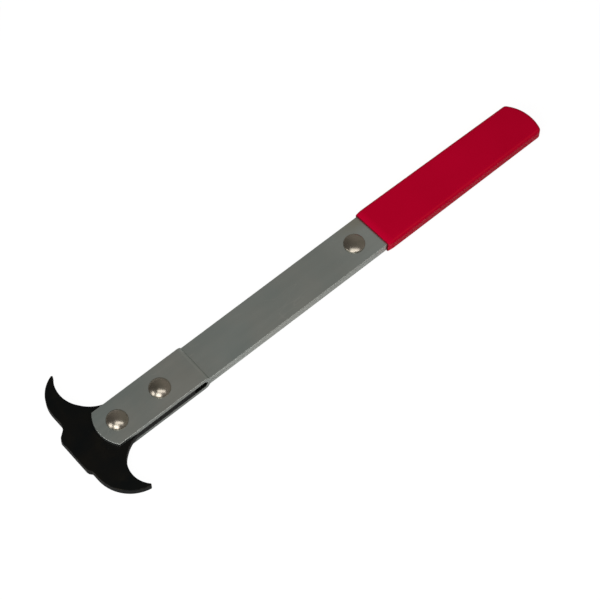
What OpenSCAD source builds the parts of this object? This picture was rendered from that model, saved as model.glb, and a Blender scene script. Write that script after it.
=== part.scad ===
// Double hook oil seal puller: a hooked plate riveted between two joggled bars, with a sleeve grip.
// +X runs from the flat heel of the blade to the butt of the grip, +Z is up through the upper bar.
// The origin is the middle of the heel face. The plane z = 0 is where the two bars meet.

/* [Hook blade] */
// Thickness of the blade plate
blade_t = 4.75; // [3:0.25:5.5]
// Length of the straight heel face
heel_w = 22.6; // [18:0.2:24]
// Distance from the heel to the inner end of the tang
tang_end = 75.7; // [70:0.1:78]
// Width of the tang
tang_w = 25.4; // [23:0.1:25.4]
// Radius of the rounded hook tips
tip_r = 0.75; // [0.5:0.05:1]

/* [Large hook] */
// Radius of the outer curve of the large hook
large_back_r = 20.3; // [20:0.1:20.6]
// Distance of the large hook's straight back from the heel
large_back_x = 6.4; // [6:0.1:7]
// Offset of the large hook's outer curve from the centreline
large_back_y = 27.5; // [27:0.1:28]
// Radius of the throat at the large hook
large_throat_r = 18.5; // [18:0.1:19]
// Middle of the large throat, from the heel
large_throat_x = 35.3; // [35:0.1:35.6]
// Middle of the large throat, from the centreline
large_throat_y = 34.0; // [33.6:0.1:34.4]
// Distance from the heel at which the large throat runs out on the tang
large_neck_x = 39.0; // [38:0.1:40]

/* [Small hook] */
// Radius of the outer curve of the small hook
small_back_r = 23.3; // [23:0.1:23.6]
// Distance of the small hook's straight back from the heel
small_back_x = 1.8; // [1.5:0.1:2.2]
// Offset of the small hook's outer curve from the centreline
small_back_y = 18.6; // [18:0.1:19]
// Radius of the throat at the small hook
small_throat_r = 14.9; // [14.6:0.1:15.2]
// Middle of the small throat, from the heel
small_throat_x = 32.2; // [32:0.1:32.5]
// Middle of the small throat, from the centreline
small_throat_y = 30.0; // [29.7:0.1:30.3]
// Distance from the heel at which the small throat runs out on the tang
small_neck_x = 37.6; // [37:0.1:38.5]

/* [Bars] */
// Width of each bar
bar_w = 25.4; // [25:0.1:27]
// Width that the bars narrow to at their tail, inside the grip
bar_tail_w = 24.2; // [23:0.1:24.4]
// Thickness of each bar
bar_t = 3.175; // [2.5:0.025:3.5]
// Distance from the heel to the rounded head end of the bars
bar_start = 17.9; // [16:0.1:20]
// Distance from the heel to the rounded tail end of the bars, inside the grip
bar_stop = 337.2; // [330:0.1:337.2]
// Radius of the arcs that close both ends of the bars
bar_end_r = 20; // [16:0.5:30]
// Distance from the heel to the middle of the joggle
joggle_x = 84.6; // [82:0.1:120]
// Bend radius of the joggle at the middle of the bar's thickness
joggle_r = 1.9; // [1.8:0.1:8]

/* [Rivets] */
// Diameter of the rivet shanks and of their holes
shank_d = 6.35; // [5:0.05:8]
// Diameter of the domed heads
head_d = 12.7; // [10:0.1:14]
// Height of the domes of the two rivets through the blade
blade_head_h = 3.2; // [2:0.1:4.5]
// Height of the dome of the rivet by the grip
handle_head_h = 2.6; // [2:0.1:4.5]
// Diameter of the flat upset heads underneath
upset_d = 11.6; // [9:0.1:13]
// Height of the flat upset heads underneath
upset_h = 1.7; // [1:0.1:3]
// Distance from the heel to the rivet nearest the hooks
tip_rivet_x = 30.6; // [28:0.1:40]
// Distance from the heel to the rivet at the tang's inner end
tang_rivet_x = 60.7; // [50:0.1:64]
// Distance from the heel to the rivet by the grip
handle_rivet_x = 204.4; // [120:0.1:208]

/* [Grip] */
// Distance from the heel to the middle of the grip's mouth
grip_start = 217.9; // [216:0.1:240]
// How far each side of the mouth lies behind or ahead of its middle, as the mouth is out of square
mouth_skew = 0.6; // [0:0.1:1]
// Distance from the heel to the butt of the grip, which is the length of the tool
grip_stop = 341.4; // [340.5:0.1:345]
// Wall thickness of the grip over the broad faces
grip_wall = 1.4; // [0.8:0.1:2.5]
// Width of the grip just behind its mouth
grip_w = 28.8; // [28:0.1:31]
// Width of the grip just ahead of its butt
grip_butt_w = 27.0; // [26.4:0.1:28]
// Length over which the mouth swells from the bars to the full width
grip_lip = 5; // [3:0.5:8]
// Radius of the arc that closes the butt
grip_butt_r = 24.5; // [22:0.5:30]
// Distance from the centreline to the middle of the butt, which lies to the small hook's side
butt_shift = 0.6; // [0:0.1:0.8]
// Distance from the centreline to the furthest point of the butt, which leans to the same side
butt_lean = 4.0; // [0:0.25:4.5]
// Radius of the two corners at the butt
grip_corner_r = 3.0; // [2:0.25:4]

/* [Hidden] */
$fn = 96;

// Each hook as [back x, back y, back radius, throat x, throat y, throat radius, neck x]
LARGE_HOOK = [
    large_back_x,
    large_back_y,
    large_back_r,
    large_throat_x,
    large_throat_y,
    large_throat_r,
    large_neck_x
];
SMALL_HOOK = [
    small_back_x,
    small_back_y,
    small_back_r,
    small_throat_x,
    small_throat_y,
    small_throat_r,
    small_neck_x
];
// The shoulder between each hook's back and the heel, towards the heel
LARGE_SHOULDER = [[large_back_x, 18.6], [4.8, 16.0], [1.2, 13.2]];
SMALL_SHOULDER = [[small_back_x, 14.3], [0.5, 12.8]];

// Radius of the long curves that lead the throats out along the tang
neck_r = 21.8;
// The neck curve is used only below this share of the throat's own offset
neck_share = 0.75;
// Half of the height between the bars at the head, which is also the drop of the joggle
lift = blade_t / 2;
// Angle that the bar turns through in each bend of the joggle
joggle_a = acos(1 - lift / (2 * joggle_r));
// Distance from the joggle's middle to where each bend begins
joggle_half = joggle_r * sin(joggle_a);
// Number of straight steps that stand for one bend of the joggle or one curve of the grip
arc_steps = 8;
// Length of the vertical edge of a dome, as a share of its height
dome_rim = 0.3;
// Width of the chamfer round an upset head
upset_chamfer = 0.9;
// Gap by which the grip's mouth stands out from the bars' edges
mouth_gap = 0.8;
// Far enough to pass right through any piece
beyond = 200;

// Points along an arc from angle a0 to angle a1; first = 1 leaves out the one it starts from
function arc(c, r, a0, a1, first = 0) = [
    for (i = [first:arc_steps])
        let (a = a0 + (a1 - a0) * i / arc_steps)
        c + r * [cos(a), sin(a)]
];

// Middle of the rounded tip: inside the back curve, outside the throat, and nearest the tip
function tip_centre(hook) =
    let (
        back = [hook[0] + hook[2], hook[1]],
        throat = [hook[3], hook[4]],
        r0 = hook[2] - tip_r,
        r1 = hook[5] + tip_r,
        d = norm(throat - back),
        along = (r0 * r0 - r1 * r1 + d * d) / (2 * d),
        across = sqrt(r0 * r0 - along * along),
        u = (throat - back) / d
    )
    back + along * u + across * [-u[1], u[0]];

// Distance along X from the middle of the butt's arc to the middle of a corner dy to one side of it
function corner_dx(dy) = sqrt(pow(grip_butt_r - grip_corner_r, 2) - dy * dy);

// The disc that gives a hook on the +Y side its outer curve, cut off where the neck begins
module back_disc(hook) {
    intersection() {
        translate([hook[0] + hook[2], hook[1]]) circle(r = hook[2]);
        square([hook[6], beyond]);
    }
}

// The open space inside a hook: the round throat, and the long curve beside the bars
module throat(hook) {
    translate([hook[3], hook[4]]) circle(r = hook[5]);
    intersection() {
        translate([hook[6], tang_w / 2 + neck_r]) circle(r = neck_r);
        square([beyond, hook[4] * neck_share]);
    }
    translate([hook[6], tang_w / 2]) square([beyond, hook[4] * neck_share - tang_w / 2]);
}

// What lies past the middle of the rounded tip, square to the line from the back curve's middle
module past_tip(hook) {
    tip = tip_centre(hook);
    arm = tip - [hook[0] + hook[2], hook[1]];
    translate(tip) rotate(atan2(arm[1], arm[0]) - 90)
        translate([0, -hook[2] / 2]) square([hook[2], hook[2]]);
}

module hook(hook, shoulder) {
    difference() {
        union() {
            back_disc(hook);
            polygon(concat(
                [[hook[6], 0], [hook[6], hook[1]], [hook[0], hook[1]]],
                shoulder,
                [[0, heel_w / 2], [0, 0]]
            ));
        }
        throat(hook);
        past_tip(hook);
    }
    translate(tip_centre(hook)) circle(r = tip_r);
}

module rivet_hole(x) {
    translate([x, 0]) circle(d = shank_d);
}

module hook_blade() {
    color([0.06, 0.06, 0.06])
    translate([0, 0, -blade_t / 2])
    difference() {
        union() {
            linear_extrude(blade_t) hook(LARGE_HOOK, LARGE_SHOULDER);
            mirror([0, 1, 0]) linear_extrude(blade_t) hook(SMALL_HOOK, SMALL_SHOULDER);
            translate([large_back_x, -tang_w / 2, 0]) cube([tang_end - large_back_x, tang_w, blade_t]);
        }
        linear_extrude(blade_t) {
            rivet_hole(tip_rivet_x);
            rivet_hole(tang_rivet_x);
        }
    }
}

// Everything on the inner side of an arc that bulges to +X and touches x = stop
module arched_end(stop, end_r) {
    translate([stop - end_r, 0]) {
        circle(r = end_r);
        translate([-2 * beyond, -end_r]) square([2 * beyond, 2 * end_r]);
    }
}

// Plan of a bar: straight sides as far as the grip, narrowing inside it, both ends arched
module bar_plan() {
    intersection() {
        polygon([
            [bar_start, -bar_w / 2],
            [grip_start, -bar_w / 2],
            [bar_stop, -bar_tail_w / 2],
            [bar_stop, bar_tail_w / 2],
            [grip_start, bar_w / 2],
            [bar_start, bar_w / 2]
        ]);
        arched_end(bar_stop, bar_end_r);
        translate([bar_start, 0]) rotate(180) arched_end(0, bar_end_r);
    }
}

// Side view of the upper bar: high over the blade, then down through two bends onto z = 0
module bar_side() {
    head_end = [joggle_x - joggle_half, lift + bar_t / 2 - joggle_r];
    tail_start = [joggle_x + joggle_half, bar_t / 2 + joggle_r];
    inner_r = joggle_r - bar_t / 2;
    outer_r = joggle_r + bar_t / 2;
    polygon(concat(
        [[bar_start, lift]],
        arc(head_end, inner_r, 90, 90 - joggle_a),
        arc(tail_start, outer_r, 270 - joggle_a, 270, 1),
        [[bar_stop, 0], [bar_stop, bar_t]],
        arc(tail_start, inner_r, 270, 270 - joggle_a),
        arc(head_end, outer_r, 90 - joggle_a, 90, 1),
        [[bar_start, lift + bar_t]]
    ));
}

module bar_body() {
    difference() {
        intersection() {
            rotate([90, 0, 0]) translate([0, 0, -bar_w]) linear_extrude(2 * bar_w) bar_side();
            linear_extrude(4 * bar_t) bar_plan();
        }
        translate([0, 0, -bar_t]) linear_extrude(6 * bar_t) {
            rivet_hole(tip_rivet_x);
            rivet_hole(tang_rivet_x);
            rivet_hole(handle_rivet_x);
        }
    }
}

module upper_bar() {
    color([0.40, 0.42, 0.40]) bar_body();
}

module lower_bar() {
    color([0.40, 0.42, 0.40]) mirror([0, 0, 1]) bar_body();
}

// Half section of a domed head standing on z = 0: a short upright rim, then a round crown
module dome_section(height) {
    rim = height * dome_rim;
    rise = height - rim;
    crown_r = (head_d * head_d / 4 + rise * rise) / (2 * rise);
    square([head_d / 2, rim]);
    intersection() {
        translate([0, height - crown_r]) circle(r = crown_r);
        square([head_d / 2, height]);
    }
}

// A rivet whose shank fills a stack that reaches stack_half both ways, domed above, upset below
module rivet(x, stack_half, height) {
    color([0.62, 0.58, 0.52])
    translate([x, 0, 0])
    rotate_extrude() {
        translate([0, -stack_half]) square([shank_d / 2, 2 * stack_half]);
        translate([0, stack_half]) dome_section(height);
        translate([0, -stack_half - upset_h]) polygon([
            [0, 0],
            [upset_d / 2 - upset_chamfer, 0],
            [upset_d / 2, upset_chamfer],
            [upset_d / 2, upset_h],
            [0, upset_h]
        ]);
    }
}

module tip_rivet() {
    rivet(tip_rivet_x, lift + bar_t, blade_head_h);
}

module tang_rivet() {
    rivet(tang_rivet_x, lift + bar_t, blade_head_h);
}

module handle_rivet() {
    rivet(handle_rivet_x, bar_t, handle_head_h);
}

// Plan of the sleeve: narrow lip, slightly tapering sides, and a leaning arc with rounded corners
module grip_plan() {
    lip_half = bar_w / 2 + mouth_gap;
    butt = [grip_stop - grip_butt_r, -butt_lean];
    corner_y = grip_butt_w / 2 - grip_corner_r;
    near_y = -corner_y - butt_shift;
    far_y = corner_y - butt_shift;
    near = [butt[0] + corner_dx(near_y + butt_lean), near_y];
    far = [butt[0] + corner_dx(far_y + butt_lean), far_y];
    near_a = atan2(near[1] - butt[1], near[0] - butt[0]);
    far_a = atan2(far[1] - butt[1], far[0] - butt[0]);
    polygon(concat(
        [[grip_start + mouth_skew, -lip_half], [grip_start + grip_lip, -grip_w / 2]],
        arc(near, grip_corner_r, -90, near_a),
        arc(butt, grip_butt_r, near_a, far_a, 1),
        arc(far, grip_corner_r, far_a, 90, 1),
        [[grip_start + grip_lip, grip_w / 2], [grip_start - mouth_skew, lip_half]]
    ));
}

module grip() {
    half = bar_t + grip_wall;
    color([0.62, 0.01, 0.13])
    difference() {
        translate([0, 0, -half]) linear_extrude(2 * half) grip_plan();
        translate([0, 0, -bar_t]) linear_extrude(2 * bar_t) bar_plan();
    }
}

hook_blade();
upper_bar();
lower_bar();
tip_rivet();
tang_rivet();
handle_rivet();
grip();
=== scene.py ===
"""Looks of the oil seal puller: rounded steel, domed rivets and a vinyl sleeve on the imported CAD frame.

Everything is in metres in the part's own frame: +X from the heel of the hooks to the butt of the grip,
+Z up through the domed rivet heads, and the two bars meet in the plane z = 0.
"""

import math

import bmesh
import bpy
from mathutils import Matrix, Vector


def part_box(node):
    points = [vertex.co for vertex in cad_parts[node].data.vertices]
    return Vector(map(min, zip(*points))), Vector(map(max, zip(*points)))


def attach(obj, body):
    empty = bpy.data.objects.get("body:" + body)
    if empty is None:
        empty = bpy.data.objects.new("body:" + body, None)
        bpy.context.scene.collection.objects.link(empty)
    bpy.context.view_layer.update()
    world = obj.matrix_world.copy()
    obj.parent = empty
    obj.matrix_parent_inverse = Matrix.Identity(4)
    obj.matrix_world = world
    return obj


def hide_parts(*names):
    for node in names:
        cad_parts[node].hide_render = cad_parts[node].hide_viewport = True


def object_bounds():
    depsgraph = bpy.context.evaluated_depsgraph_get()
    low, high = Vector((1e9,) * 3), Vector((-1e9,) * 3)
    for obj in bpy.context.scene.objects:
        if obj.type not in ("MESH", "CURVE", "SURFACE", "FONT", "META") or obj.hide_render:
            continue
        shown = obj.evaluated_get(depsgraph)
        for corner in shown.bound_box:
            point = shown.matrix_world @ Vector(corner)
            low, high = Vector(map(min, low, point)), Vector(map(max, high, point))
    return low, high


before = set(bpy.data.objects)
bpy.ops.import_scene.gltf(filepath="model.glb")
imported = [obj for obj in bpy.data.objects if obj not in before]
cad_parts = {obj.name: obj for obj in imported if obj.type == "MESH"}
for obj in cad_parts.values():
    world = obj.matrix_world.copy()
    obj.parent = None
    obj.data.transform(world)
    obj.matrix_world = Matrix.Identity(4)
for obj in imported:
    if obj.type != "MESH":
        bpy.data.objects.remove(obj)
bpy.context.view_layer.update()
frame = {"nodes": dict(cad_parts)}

MM = 0.001
SAME_POINT = 1e-7  # vertices closer than this are one

# ---------------------------------------------------------------- driving sizes

BLADE_EDGE = 0.35 * MM  # rounding of the stamped edges of the hook blade
BAR_EDGE = 0.30 * MM  # rounding of the sheared edges of the bars
EDGE_SEGMENTS = 3  # across each of those roundings
WEAR_AT_EDGE = 0.4  # wear where a rounded edge runs into a flat face, 1 in the middle of the rounding
SHARP = math.radians(35)  # edges that turn further than this are rounded
FLAT = math.radians(0.3)  # faces that turn less than this are one face
STEP = 0.2 * MM  # smaller steps in an outline are closed, or they hold back the rounding of every edge

RIVET_TURNS = 128  # points round a rivet
CROWN_STEPS = 32  # segments from the shoulder to the top of a dome
SHOULDER_STEPS = 8
UPSET_STEPS = 8
UNDERCUT_STEPS = 4
SHANK_R = 3.175 * MM
HOLE_REACH = 1.05 * SHANK_R  # vertices this close to a rivet's axis belong to its hole
UPSET_R = 5.8 * MM
UPSET_ROUNDING = 0.55  # of an upset head's edge, as a share of its height
UPSET_RING = 0.4  # where a ring divides an upset head's flat, as a share of its radius
DOME_SHOULDER = 0.8 * MM  # rounding between a dome's crown and its rim
UNDERCUT = 0.2 * MM  # rounding under the rim of a dome

GRIP_EDGE = 2.2 * MM  # rounding of the sleeve's long edges
GRIP_LIP = 5.0 * MM  # length over which the mouth swells to the full width
MOUTH_RING = 3.0 * MM  # depth to which the cavity's walls stay parallel
LIP_EDGE = 0.8 * MM  # rounding of the sleeve's edges at the mouth
LIP_WALL = 0.7 * MM  # how far the lip stands out from the bars' edges
LIP_DEPTH = 0.45 * MM  # length of the rounding round the lip
LIP_THINNER = 0.15 * MM  # how much lower the lip stands than the sleeve behind it
MOUTH_SKEW = 0.6 * MM
BUTT_R = 24.5 * MM
BUTT_LEAN = 4.0 * MM
BUTT_CORNER = 3.0 * MM
BUTT_HALF_W = 13.5 * MM
BUTT_SHIFT = 0.6 * MM  # of the butt's middle, towards -Y
CAVITY_GAP = 0.12 * MM  # between the sleeve and the bars
CAVITY_EDGE = 0.3 * MM
CAVITY_SAG = 1.3  # bulge of the cavity's blind end, as a share of the butt's own
BLIND_SHORT = 4.4 * MM  # how far before the bars' own end the cavity's corners lie
BLIND_NARROW = 0.7 * MM  # narrowing of the cavity at its blind end, on each side
EDGE_STEPS = 8  # segments across a rounded edge of the sleeve
WALL_STEPS = 4  # segments up its side, between two rounded edges
ACROSS_STEPS = 16  # segments across its broad faces
LIP_STEPS = 10  # segments round the lip, and as many along its swelling
BODY_STEPS = 40
CORNER_STEPS = 12

# Camera, as the photograph was taken
CAM_AZIMUTH = -40.72
CAM_ELEVATION = 61.30
CAM_DISTANCE = 1.3026
CAM_LENS = 136.74
CAM_AIM = (0.1632, 0.0, -0.003175)
CAM_OFFSET = (-0.00007, 0.00576)  # how far the aim point lies from the picture's middle, right and up


# ---------------------------------------------------------------- mesh helpers

def new_object(name, bm, smooth=True):
    """Turns a bmesh into a scene object."""
    mesh = bpy.data.meshes.new(name)
    bmesh.ops.recalc_face_normals(bm, faces=bm.faces)
    bm.to_mesh(mesh)
    bm.free()
    for poly in mesh.polygons:
        poly.use_smooth = smooth
    obj = bpy.data.objects.new(name, mesh)
    bpy.context.scene.collection.objects.link(obj)
    return obj


def weighted_normals(obj):
    """Keeps broad flat faces flat beside their rounded edges."""
    mod = obj.modifiers.new("flat_faces", "WEIGHTED_NORMAL")
    mod.mode = "FACE_AREA"
    mod.weight = 100
    mod.keep_sharp = True


def place(obj, node, material):
    """Lets a piece stand for a CAD node, with the given material."""
    obj.data.materials.clear()
    obj.data.materials.append(material)
    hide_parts(node)
    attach(obj, "root")
    return obj


def turns_sharply(v):
    """Whether the outline has a corner at v, which shows in the upright edge there."""
    upright = [e for e in v.link_edges if abs(e.other_vert(v).co.z - v.co.z) > STEP]
    return any(e.calc_face_angle(0) > SHARP for e in upright)


def close_steps(bm):
    """Closes the tiny steps where the hooks' rounded tips meet their inner edges."""
    short = [e for e in bm.edges if e.calc_length() < STEP]
    steps = [e for e in short if turns_sharply(e.verts[0]) and turns_sharply(e.verts[1])]
    bmesh.ops.collapse(bm, edges=steps)


def from_cad(node, name, edge_round, holes):
    """A copy of a flat CAD piece with its edges rounded, and with wear marked along them.

    holes are the x positions of the rivets: their holes stay sharp, under the heads.
    """
    bm = bmesh.new()
    bm.from_mesh(frame["nodes"][node].data)
    bmesh.ops.remove_doubles(bm, verts=bm.verts, dist=SAME_POINT)
    bmesh.ops.dissolve_limit(
        bm, angle_limit=FLAT, use_dissolve_boundaries=False, verts=bm.verts, edges=bm.edges
    )
    close_steps(bm)
    wear = bm.loops.layers.float.new("wear")

    def at_hole(v):
        return any(math.hypot(v.co.x - x, v.co.y) < HOLE_REACH for x in holes)

    sharp = [
        e
        for e in bm.edges
        if len(e.link_faces) == 2
        and e.calc_face_angle(0) > SHARP
        and not (at_hole(e.verts[0]) and at_hole(e.verts[1]))
    ]
    made = bmesh.ops.bevel(
        bm,
        geom=sharp,
        offset=edge_round,
        offset_type="OFFSET",
        segments=EDGE_SEGMENTS,
        profile=0.5,
        affect="EDGES",
        clamp_overlap=True,
    )
    rounded = set(made["faces"])
    for face in rounded:
        for loop in face.loops:
            inside = all(f in rounded for f in loop.vert.link_faces)
            loop[wear] = 1.0 if inside else WEAR_AT_EDGE
    obj = new_object(name, bm)
    weighted_normals(obj)
    return obj


def lathe(name, profile, centre_x, turns):
    """Turns (radius, z) points about an upright axis at centre_x. The first and last lie on the axis."""
    bm = bmesh.new()
    rings = []
    for r, z in profile:
        if r < SAME_POINT:
            rings.append([bm.verts.new((centre_x, 0, z))])
            continue
        rings.append(
            [
                bm.verts.new(
                    (
                        centre_x + r * math.cos(2 * math.pi * i / turns),
                        r * math.sin(2 * math.pi * i / turns),
                        z,
                    )
                )
                for i in range(turns)
            ]
        )
    for a, b in zip(rings, rings[1:]):
        for i in range(turns):
            j = (i + 1) % turns
            if len(a) == 1:
                bm.faces.new((a[0], b[i], b[j]))
            elif len(b) == 1:
                bm.faces.new((a[i], a[j], b[0]))
            else:
                bm.faces.new((a[i], a[j], b[j], b[i]))
    return new_object(name, bm)


# ---------------------------------------------------------------- pieces

def quarter(steps):
    """Sines and cosines of the angles that divide a right angle, without the first."""
    return [(math.sin(a), math.cos(a)) for a in (math.pi / 2 * i / steps for i in range(1, steps + 1))]


def rivet_profile(low_z, stack, high_z, head_r):
    """Half section of a rivet from the bottom of its upset head to the top of its dome."""
    round_r = (-stack - low_z) * UPSET_ROUNDING
    points = [(0, low_z), (UPSET_R * UPSET_RING, low_z), (UPSET_R - round_r, low_z)]
    for sin, cos in quarter(UPSET_STEPS):
        points.append((UPSET_R - round_r * (1 - sin), low_z + round_r * (1 - cos)))
    points += [(UPSET_R, -stack), (SHANK_R, -stack), (SHANK_R, stack), (head_r - UNDERCUT, stack)]
    for sin, cos in quarter(UNDERCUT_STEPS):
        points.append((head_r - UNDERCUT * (1 - sin), stack + UNDERCUT * (1 - cos)))
    # a round shoulder that runs into a round crown
    rim_z, inner_r = stack + UNDERCUT, head_r - DOME_SHOULDER
    rise = high_z - rim_z
    crown_r = (rise**2 + inner_r**2 - DOME_SHOULDER**2) / (2 * (rise - DOME_SHOULDER))
    steepest = math.asin(inner_r / (crown_r - DOME_SHOULDER))
    for i in range(1, SHOULDER_STEPS):
        a = (math.pi / 2 - steepest) * i / SHOULDER_STEPS
        points.append((inner_r + DOME_SHOULDER * math.cos(a), rim_z + DOME_SHOULDER * math.sin(a)))
    for i in range(CROWN_STEPS):
        a = steepest * (1 - i / CROWN_STEPS)
        points.append((crown_r * math.sin(a), high_z - crown_r * (1 - math.cos(a))))
    return points + [(0, high_z)]


def bar_thickness():
    """Thickness of a bar, which at its head lies on the blade."""
    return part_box("upper_bar")[1].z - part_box("hook_blade")[1].z


def make_rivet(node, stack, material):
    """A rivet whose dome and upset head hold a stack that reaches that far both ways."""
    low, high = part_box(node)
    head_r = (high.x - low.x) / 2
    profile = rivet_profile(low.z, stack, high.z, head_r)
    obj = lathe(node + "_domed", profile, (low.x + high.x) / 2, RIVET_TURNS)
    return place(obj, node, material)


def side_profile(half_h, edge):
    """Points down one side of the sleeve as (distance in from the outline, height)."""
    upper = [(edge, half_h)]
    upper += [(edge * (1 - sin), half_h - edge * (1 - cos)) for sin, cos in quarter(EDGE_STEPS)]
    wall = [(0, (half_h - edge) * (1 - 2 * i / WALL_STEPS)) for i in range(1, WALL_STEPS)]
    return upper + wall + [(d, -z) for d, z in reversed(upper)]


class Butt:
    """Plan of the sleeve's closed end: a leaning arc between two rounded corners."""

    def __init__(self, end_x):
        self.middle = Vector((end_x - BUTT_R, -BUTT_LEAN))
        self.far, self.far_angle = self.corner(1)
        self.near, self.near_angle = self.corner(-1)

    def corner(self, side):
        """Middle of the corner on the +Y (1) or -Y (-1) side, and the angle at which the arc begins."""
        y = side * (BUTT_HALF_W - BUTT_CORNER) - BUTT_SHIFT
        dx = math.sqrt((BUTT_R - BUTT_CORNER) ** 2 - (y + BUTT_LEAN) ** 2)
        return Vector((self.middle.x + dx, y)), math.atan2(y + BUTT_LEAN, dx)

    def along(self, share, inset):
        """Point on the arc, from the far corner (0) to the near one (1)."""
        angle = self.far_angle + (self.near_angle - self.far_angle) * share
        return self.middle + (BUTT_R - inset) * Vector((math.cos(angle), math.sin(angle)))

    def sag(self, share, inset):
        """How far the arc lies beyond its own chord."""
        chord = self.along(0, inset).lerp(self.along(1, inset), share)
        return self.along(share, inset) - chord

    def frames(self, share):
        """Outline point and outward direction on both sides, part of the way round the corners."""
        out = []
        for middle, start, stop in (
            (self.far, math.pi / 2, self.far_angle),
            (self.near, -math.pi / 2, self.near_angle),
        ):
            angle = start + (stop - start) * share
            outward = Vector((math.cos(angle), math.sin(angle)))
            out.append((middle + BUTT_CORNER * outward, outward))
        return out


class Sleeve:
    """Builds the sleeve from rings that run round it: far side, top, near side, underside."""

    def __init__(self, butt):
        self.bm = bmesh.new()
        self.butt = butt
        self.rings = []
        self.last_profile = None

    def ring(self, far, near, half_h, edge, sag):
        """far and near are pairs of outline point and outward direction; sag bulges the broad faces."""
        profile = side_profile(half_h, edge)

        def side(frame):
            return [(*(frame[0] - d * frame[1]), z) for d, z in profile]

        def across(height):
            ends = far[0] - edge * far[1], near[0] - edge * near[1]
            shares = [i / ACROSS_STEPS for i in range(1, ACROSS_STEPS)]
            return [(*(ends[0].lerp(ends[1], t) + sag * self.butt.sag(t, edge)), height) for t in shares]

        points = side(far)[::-1] + across(half_h) + side(near) + across(-half_h)[::-1]
        self.rings.append([self.bm.verts.new(p) for p in points])
        self.last_profile = profile

    def straight(self, far, near, half_h, edge, sag=0.0):
        """A ring that faces straight out at both sides, through an (x, y) point on each."""
        self.ring((Vector(far), Vector((0, 1))), (Vector(near), Vector((0, -1))), half_h, edge, sag)

    def skin(self):
        """Joins each ring to the next."""
        for a, b in zip(self.rings, self.rings[1:]):
            for i in range(len(a)):
                j = (i + 1) % len(a)
                self.bm.faces.new((a[i], a[j], b[j], b[i]))

    def close_cavity(self):
        """Closes the first ring, deep inside the sleeve."""
        ring = self.rings[0]
        last = len(self.last_profile) - 1
        near = last + ACROSS_STEPS
        for i in range(ACROSS_STEPS):
            under = (len(ring) - i) % len(ring)
            self.bm.faces.new((ring[last + i], ring[last + i + 1], ring[under - 1], ring[under]))
        self.bm.faces.new(ring[: last + 1])
        self.bm.faces.new(ring[near : near + last + 1])

    def close_butt(self):
        """Closes the last ring with the rounded wall of the butt."""
        ring = self.rings[-1]
        profile = self.last_profile
        last = len(profile) - 1

        def vert(i, k):
            if i == 0:
                return ring[last - k]
            if i == ACROSS_STEPS:
                return ring[last + ACROSS_STEPS + k]
            if k == 0:
                return ring[last + i]
            if k == last:
                return ring[len(ring) - i]
            inset, z = profile[k]
            return self.bm.verts.new((*self.butt.along(i / ACROSS_STEPS, inset), z))

        grid = [[vert(i, k) for k in range(last + 1)] for i in range(ACROSS_STEPS + 1)]
        for i in range(ACROSS_STEPS):
            for k in range(last):
                corners = grid[i][k], grid[i + 1][k], grid[i + 1][k + 1], grid[i][k + 1]
                self.bm.faces.new(corners)


def make_grip(material):
    """The sleeve, as one skin from the blind end of its cavity, round the lip and out to the butt."""
    low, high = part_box("grip")
    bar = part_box("upper_bar")[1]
    sleeve = Sleeve(Butt(high.x))
    inner_w, inner_h = bar.y + CAVITY_GAP, bar_thickness() + CAVITY_GAP
    half_h, half_w = high.z, high.y
    lip_h = half_h - LIP_THINNER
    mouth_far, mouth_near = low.x, low.x + 2 * MOUTH_SKEW

    def at_mouth(depth, w, h, edge):
        sleeve.straight((mouth_far + depth, w), (mouth_near + depth, -w), h, edge)

    # inside, from the blind end to the mouth
    blind_x, blind_w = bar.x - BLIND_SHORT, inner_w - BLIND_NARROW
    sleeve.straight((blind_x, blind_w), (blind_x, -blind_w), inner_h, CAVITY_EDGE, CAVITY_SAG)
    at_mouth(MOUTH_RING, inner_w, inner_h, CAVITY_EDGE)
    at_mouth(LIP_DEPTH, inner_w, inner_h, CAVITY_EDGE)
    # round the lip
    for i in range(1, LIP_STEPS):
        turn = math.pi * i / LIP_STEPS
        out = (1 - math.cos(turn)) / 2
        w, h = inner_w + LIP_WALL * out, inner_h + (lip_h - inner_h) * out
        at_mouth(LIP_DEPTH * (1 - math.sin(turn)), w, h, CAVITY_EDGE + (LIP_EDGE - CAVITY_EDGE) * out)
    # swell to the full width
    for i in range(LIP_STEPS + 1):
        swell = math.sin(math.pi / 2 * i / LIP_STEPS)
        w = inner_w + LIP_WALL + (half_w - inner_w - LIP_WALL) * swell
        edge = LIP_EDGE + (GRIP_EDGE - LIP_EDGE) * swell
        depth = LIP_DEPTH + (GRIP_LIP - LIP_DEPTH) * i / LIP_STEPS
        at_mouth(depth, w, lip_h + LIP_THINNER * swell, edge)
    # taper to the butt
    (far_end, _), (near_end, _) = sleeve.butt.frames(0)
    far, near = Vector((mouth_far + GRIP_LIP, half_w)), Vector((mouth_near + GRIP_LIP, -half_w))
    for i in range(1, BODY_STEPS):
        t = i / BODY_STEPS
        sleeve.straight(far.lerp(far_end, t), near.lerp(near_end, t), half_h, GRIP_EDGE, t * t)
    # round the corners and close the butt
    for i in range(CORNER_STEPS + 1):
        far, near = sleeve.butt.frames(i / CORNER_STEPS)
        sleeve.ring(far, near, half_h, GRIP_EDGE, 1.0)
    sleeve.skin()
    sleeve.close_cavity()
    sleeve.close_butt()
    obj = new_object("grip_sleeve", sleeve.bm)
    weighted_normals(obj)
    return place(obj, "grip", material)


# ---------------------------------------------------------------- materials

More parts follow.
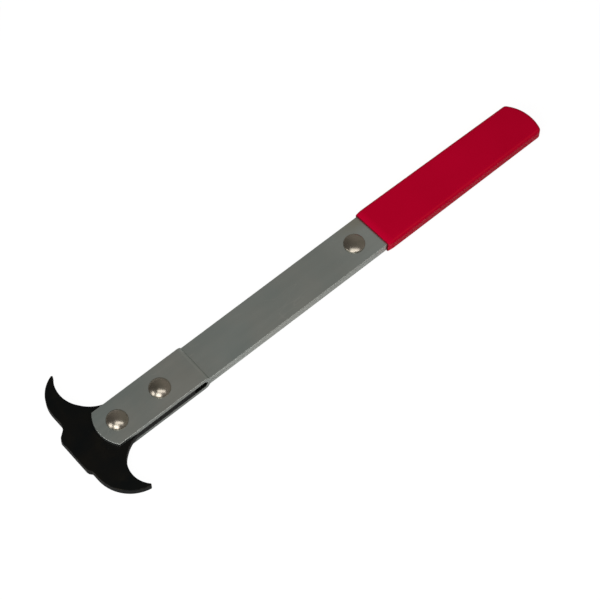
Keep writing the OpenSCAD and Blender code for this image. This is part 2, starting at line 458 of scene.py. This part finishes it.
class Nodes:
    """A short hand for building a node tree."""

    def __init__(self, name):
        self.mat = bpy.data.materials.new(name)
        self.mat.use_nodes = True
        self.tree = self.mat.node_tree
        self.shader = self.tree.nodes["Principled BSDF"]
        coords = self.tree.nodes.new("ShaderNodeTexCoord")
        self.coords = coords.outputs["Object"]

    def add(self, kind, **props):
        node = self.tree.nodes.new(kind)
        for key, value in props.items():
            setattr(node, key, value)
        return node

    def link(self, out, sock):
        self.tree.links.new(out, sock)

    def scaled(self, scale):
        """Object coordinates stretched by scale, an (x, y, z) triple."""
        node = self.add("ShaderNodeMapping")
        node.inputs["Scale"].default_value = scale
        self.link(self.coords, node.inputs["Vector"])
        return node.outputs["Vector"]

    def noise(self, scale, detail=4.0, rough=0.55, vector=None):
        node = self.add("ShaderNodeTexNoise")
        node.inputs["Scale"].default_value = scale
        node.inputs["Detail"].default_value = detail
        node.inputs["Roughness"].default_value = rough
        self.link(vector or self.coords, node.inputs["Vector"])
        return node.outputs["Fac"]

    def remap(self, value, low, high, to_low, to_high):
        node = self.add("ShaderNodeMapRange", clamp=True)
        limits = {"From Min": low, "From Max": high, "To Min": to_low, "To Max": to_high}
        for key, number in limits.items():
            node.inputs[key].default_value = number
        self.link(value, node.inputs["Value"])
        return node.outputs["Result"]

    def math(self, op, a, b=None, clamp=False):
        node = self.add("ShaderNodeMath", operation=op, use_clamp=clamp)
        for sock, value in zip(node.inputs, (a, b)):
            if value is None:
                continue
            if isinstance(value, (int, float)):
                sock.default_value = value
            else:
                self.link(value, sock)
        return node.outputs["Value"]

    def mix(self, fac, a, b):
        node = self.add("ShaderNodeMix", data_type="RGBA")
        self.link(fac, node.inputs["Factor"])
        for sock, value in ((node.inputs["A"], a), (node.inputs["B"], b)):
            if isinstance(value, tuple):
                sock.default_value = (*value, 1)
            else:
                self.link(value, sock)
        return node.outputs["Result"]

    def attribute(self, name):
        node = self.add("ShaderNodeAttribute", attribute_name=name)
        return node.outputs["Fac"]

    def axis(self, name):
        """One of the object's own coordinates, in metres."""
        node = self.add("ShaderNodeSeparateXYZ")
        self.link(self.coords, node.inputs["Vector"])
        return node.outputs[name]

    def facing(self, name):
        """One component of the surface's outward direction."""
        node = self.add("ShaderNodeSeparateXYZ")
        self.link(self.add("ShaderNodeNewGeometry").outputs["Normal"], node.inputs["Vector"])
        return node.outputs[name]

    def bump(self, height, strength, distance):
        node = self.add("ShaderNodeBump")
        node.inputs["Strength"].default_value = strength
        node.inputs["Distance"].default_value = distance
        self.link(height, node.inputs["Height"])
        self.link(node.outputs["Normal"], self.shader.inputs["Normal"])

    def set(self, **values):
        for key, value in values.items():
            sock = self.shader.inputs[key.replace("_", " ")]
            sock.default_value = (*value, 1) if isinstance(value, tuple) else value


def scratches(n):
    """Share of a few hairline scratches along the bars: the level lines of a stretched noise."""
    wander = n.noise(70, 2, 0.5, n.scaled((0.2, 1, 1)))
    near_line = n.math("ABSOLUTE", n.math("SUBTRACT", wander, 0.5))
    return n.remap(near_line, 0.0, 0.003, 0.45, 0.0)


def along_bars(n):
    """Shares that change along the bars: clear of the head, a painted sheen that brightens towards the
    grip, and stained brown.
    """
    tang_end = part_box("hook_blade")[1].x
    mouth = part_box("grip")[0].x
    behind_head = n.remap(n.axis("X"), tang_end + 2.3 * MM, tang_end + 24.3 * MM, 0.0, 1.0)
    # painted sheen, brightest beside the grip
    rubbed_and_sheen = n.remap(n.axis("X"), mouth - 31.3 * MM, mouth + 4.7 * MM, 0.24, 0.95)
    # a film on the +Y side of the bars, beside the grip
    near_grip = n.remap(n.axis("X"), mouth - 21.3 * MM, mouth - 3.3 * MM, 0.0, 0.7)
    far_half = n.remap(n.axis("Y"), 3 * MM, 9 * MM, 0.0, 1.0)
    return behind_head, n.math("MULTIPLY", rubbed_and_sheen, behind_head), n.math("MULTIPLY", near_grip, far_half)


def steel():
    """Grey bars with sheared sides and worn edges, a painted sheen towards the grip, and painted shade in
    the seam between them and round the tang.
    """
    n = Nodes("grey_steel")
    cloud = n.noise(22, 4, 0.55)
    streak = n.noise(240, 3, 0.6, n.scaled((0.12, 1, 1)))
    worn = n.math("MULTIPLY", n.attribute("wear"), n.remap(n.noise(420, 3), 0.35, 0.6, 0.1, 0.5))
    behind_head, rubbed_and_sheen, stain = along_bars(n)
    sheared = n.remap(n.math("ABSOLUTE", n.facing("Y")), 0.5, 0.9, 0.0, 0.6)
    cut_tone = n.mix(behind_head, (0.32, 0.34, 0.325), (0.62, 0.63, 0.59))
    # painted shade: darker along the seam where the two bars meet
    painted_seam_shade = n.remap(n.math("ABSOLUTE", n.axis("Z")), 0.1 * MM, 0.4 * MM, 0.4, 0.0)
    # faces that look back at z = 0 hold the tang; where they show in the slot between the bars, they are
    # painted near black as shade
    inward = n.math("MULTIPLY", n.axis("Z"), n.facing("Z"))
    inside = n.remap(inward, -0.4 * MM, -0.1 * MM, 0.95, 0.0)

    grey = n.mix(n.remap(cloud, 0.36, 0.64, 0, 1), (0.430, 0.500, 0.490), (0.515, 0.530, 0.497))
    grey = n.mix(n.remap(streak, 0.3, 0.75, 0, 0.14), grey, (0.62, 0.63, 0.60))
    grey = n.mix(scratches(n), grey, (0.66, 0.67, 0.64))
    # painted sheen: the bars lighter and bluer towards the grip
    grey = n.mix(rubbed_and_sheen, grey, (0.66, 0.71, 0.69))
    grey = n.mix(stain, grey, (0.53, 0.51, 0.42))
    grey = n.mix(sheared, grey, cut_tone)
    grey = n.mix(worn, grey, (0.70, 0.71, 0.67))
    # painted shade along the seam between the bars
    grey = n.mix(painted_seam_shade, grey, (0.10, 0.095, 0.08))
    # painted shade: near black inside the slot between the bars
    grey = n.mix(inside, grey, (0.02, 0.019, 0.017))
    n.link(grey, n.shader.inputs["Base Color"])
    n.link(n.remap(n.math("ADD", cloud, streak), 0.7, 1.3, 0.34, 0.40), n.shader.inputs["Roughness"])
    n.bump(n.math("ADD", streak, n.noise(1500, 2)), 0.05, 0.0002)
    n.set(Metallic=1.0)
    return n.mat


def black():
    """Blackened plate: a mottled finish, thin in spots and worn at the edges."""
    n = Nodes("black_blade")
    cloud = n.noise(55, 5, 0.6)
    fine = n.noise(900, 3, 0.6)
    worn = n.math("MULTIPLY", n.attribute("wear"), n.remap(n.noise(300, 4), 0.42, 0.62, 0.0, 0.6))
    rubbed_and_sheen = n.remap(n.noise(95, 5, 0.65), 0.56, 0.72, 0.0, 0.5)  # thin spots in the black finish
    tone = n.mix(n.remap(cloud, 0.35, 0.7, 0, 1), (0.0020, 0.0030, 0.0034), (0.0046, 0.0040, 0.0028))
    tone = n.mix(rubbed_and_sheen, tone, (0.0085, 0.0070, 0.0042))
    tone = n.mix(worn, tone, (0.050, 0.044, 0.034))
    n.link(tone, n.shader.inputs["Base Color"])
    n.link(n.remap(cloud, 0.3, 0.7, 0.42, 0.56), n.shader.inputs["Roughness"])
    n.bump(fine, 0.08, 0.0002)
    n.set(Metallic=0.0, Specular_IOR_Level=0.10)
    return n.mat


def nickel():
    """Dull nickel, clouded and pitted."""
    n = Nodes("nickel_rivet")
    cloud = n.noise(160, 4, 0.6)
    tone = n.mix(n.remap(cloud, 0.3, 0.7, 0, 1), (0.325, 0.300, 0.245), (0.420, 0.370, 0.315))
    pits = n.noise(700, 3, 0.6)
    tone = n.mix(n.remap(pits, 0.60, 0.75, 0.0, 0.5), tone, (0.19, 0.165, 0.13))
    n.link(tone, n.shader.inputs["Base Color"])
    n.link(n.remap(n.math("ADD", cloud, pits), 0.7, 1.3, 0.23, 0.30), n.shader.inputs["Roughness"])
    n.bump(n.noise(1300, 2), 0.03, 0.0001)
    n.set(Metallic=1.0)
    return n.mat


def vinyl():
    """Dipped red vinyl, with a painted glow behind the lip, painted highlights along its rounded edges,
    and painted shade on the lip's cut end.
    """
    n = Nodes("red_vinyl")
    low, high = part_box("grip")
    cloud = n.noise(30, 4, 0.5)
    fine = n.noise(1100, 3, 0.6)
    # distance behind the slanting mouth
    slant = n.math("MULTIPLY", n.axis("Y"), MOUTH_SKEW / high.y)
    depth = n.math("SUBTRACT", n.math("ADD", n.axis("X"), slant), low.x + MOUTH_SKEW)
    painted_lip_glow = n.remap(depth, 0.6 * MM, 5 * MM, 1.0, 0.0)  # painted glow on the lip, fading out 5 mm behind the mouth
    tilt = n.math("ABSOLUTE", n.math("SUBTRACT", n.math("ABSOLUTE", n.facing("Z")), 0.85))
    corner = n.remap(tilt, 0.0, 0.12, 0.35, 0.0)  # painted highlight along the sleeve's rounded edges
    painted_mouth_shade = n.remap(depth, 0.15 * MM, 0.4 * MM, 0.75, 0.0)  # painted shade on the lip's cut end, at the mouth
    tone = n.mix(n.remap(cloud, 0.3, 0.7, 0, 1), (0.62, 0.0004, 0.028), (0.67, 0.0006, 0.032))
    # painted highlight along the rounded edges
    tone = n.mix(corner, tone, (0.76, 0.022, 0.030))
    # painted glow behind the mouth
    tone = n.mix(painted_lip_glow, tone, (0.76, 0.001, 0.040))
    # painted shade at the mouth
    tone = n.mix(painted_mouth_shade, tone, (0.10, 0.001, 0.006))
    n.link(tone, n.shader.inputs["Base Color"])
    n.link(n.remap(cloud, 0.3, 0.7, 0.28, 0.36), n.shader.inputs["Roughness"])
    n.bump(fine, 0.06, 0.0002)
    n.set(Metallic=0.0, Specular_IOR_Level=0.05, Specular_Tint=(1.0, 0.35, 0.42))
    return n.mat


# ---------------------------------------------------------------- stage

def make_disc(name, z, colour, glow):
    """A wide round sheet that glows by itself and also takes light and shade."""
    bm = bmesh.new()
    turns, radius = 96, 6.0
    angles = [2 * math.pi * i / turns for i in range(turns)]
    bm.faces.new([bm.verts.new((radius * math.cos(a), radius * math.sin(a), 0)) for a in angles])
    disc = new_object(name, bm, smooth=False)
    disc.location.z = z
    n = Nodes(name + "_paper")
    n.set(Base_Color=(colour,) * 3, Roughness=0.9, Specular_IOR_Level=0.0)
    n.set(Emission_Color=(1.0, 1.0, 1.0), Emission_Strength=glow)
    disc.data.materials.append(n.mat)
    return disc


def make_floor():
    """White paper for the camera, over a duller table that lights the object and shows in it."""
    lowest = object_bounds()[0].z
    paper = make_disc("floor", lowest, colour=0.12, glow=0.95)
    paper.visible_glossy = paper.visible_diffuse = paper.visible_shadow = False
    table = make_disc("table", lowest - 0.2 * MM, colour=0.75, glow=0.0)
    table.visible_camera = False


def back_vector(azimuth, elevation):
    """Unit vector from the aim point towards a viewer at azimuth and elevation in degrees."""
    a, e = math.radians(azimuth), math.radians(elevation)
    return Vector((math.sin(a) * math.cos(e), -math.cos(a) * math.cos(e), math.sin(e)))


def add_light(name, aim, azimuth, elevation, distance, size, radiance):
    """A soft box that faces the aim point and looks equally bright whatever its size."""
    light = bpy.data.lights.new(name, "AREA")
    light.shape = "RECTANGLE"
    light.size, light.size_y = size
    light.energy = radiance * math.pi * size[0] * size[1]
    obj = bpy.data.objects.new(name, light)
    back = back_vector(azimuth, elevation)
    obj.location = Vector(aim) + back * distance
    obj.rotation_mode = "QUATERNION"
    obj.rotation_quaternion = (-back).to_track_quat("-Z", "Y")
    obj.visible_camera = False
    bpy.context.scene.collection.objects.link(obj)


def make_world():
    """A dim warm room, a little brighter towards +X."""
    world = bpy.data.worlds.new("studio")
    world.use_nodes = True
    tree = world.node_tree
    coords = tree.nodes.new("ShaderNodeTexCoord")
    split = tree.nodes.new("ShaderNodeSeparateXYZ")
    tree.links.new(coords.outputs["Generated"], split.inputs["Vector"])

    share = tree.nodes.new("ShaderNodeMapRange")
    share.inputs["From Min"].default_value = -0.3
    share.inputs["From Max"].default_value = 0.7
    tree.links.new(split.outputs["X"], share.inputs["Value"])
    room = tree.nodes.new("ShaderNodeMix")
    room.data_type = "RGBA"
    room.inputs["A"].default_value = (0.125, 0.121, 0.112, 1)
    room.inputs["B"].default_value = (0.29, 0.28, 0.26, 1)
    tree.links.new(share.outputs["Result"], room.inputs["Factor"])
    tree.links.new(room.outputs["Result"], tree.nodes["Background"].inputs["Color"])
    bpy.context.scene.world = world


def make_lights():
    """Three soft boxes, which show in the domes as highlights."""
    add_light(
        "overhead_box",
        aim=(0.155, -0.141, 0),
        azimuth=-40.7,
        elevation=77,
        distance=0.58,
        size=(0.64, 0.18),
        radiance=2.7,
    )
    head = (0.03, 0, 0)
    add_light(
        "front_box", aim=head, azimuth=-49, elevation=44, distance=1.0, size=(0.60, 0.44), radiance=4.2
    )
    add_light(
        "left_box", aim=head, azimuth=-102, elevation=31, distance=1.0, size=(0.42, 0.40), radiance=3.2
    )


def make_camera():
    """The photograph's viewpoint, upright in the picture."""
    cam = bpy.data.cameras.new("camera")
    cam.lens = CAM_LENS
    cam.sensor_width = 36
    cam.clip_start, cam.clip_end = 0.05, 30
    obj = bpy.data.objects.new("camera", cam)
    back = back_vector(CAM_AZIMUTH, CAM_ELEVATION)
    right = Vector((math.cos(math.radians(CAM_AZIMUTH)), math.sin(math.radians(CAM_AZIMUTH)), 0))
    up = back.cross(right)
    aim = Vector(CAM_AIM) - right * CAM_OFFSET[0] - up * CAM_OFFSET[1]
    obj.location = aim + back * CAM_DISTANCE
    obj.rotation_mode = "QUATERNION"
    obj.rotation_quaternion = (-back).to_track_quat("-Z", "Y")
    bpy.context.scene.collection.objects.link(obj)
    bpy.context.scene.camera = obj


# ---------------------------------------------------------------- build

steel_mat = steel()
nickel_mat = nickel()
stacks = {
    "tip_rivet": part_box("upper_bar")[1].z,
    "tang_rivet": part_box("upper_bar")[1].z,
    "handle_rivet": bar_thickness(),
}
rivet_xs = [(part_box(node)[0].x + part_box(node)[1].x) / 2 for node in stacks]
place(from_cad("hook_blade", "hooked_plate", BLADE_EDGE, rivet_xs), "hook_blade", black())
for side in ("upper_bar", "lower_bar"):
    place(from_cad(side, side + "_strip", BAR_EDGE, rivet_xs), side, steel_mat)
for node, stack in stacks.items():
    make_rivet(node, stack, nickel_mat)
make_grip(vinyl())

make_floor()
make_world()
make_lights()
make_camera()
bpy.context.scene.view_settings.view_transform = "Standard"
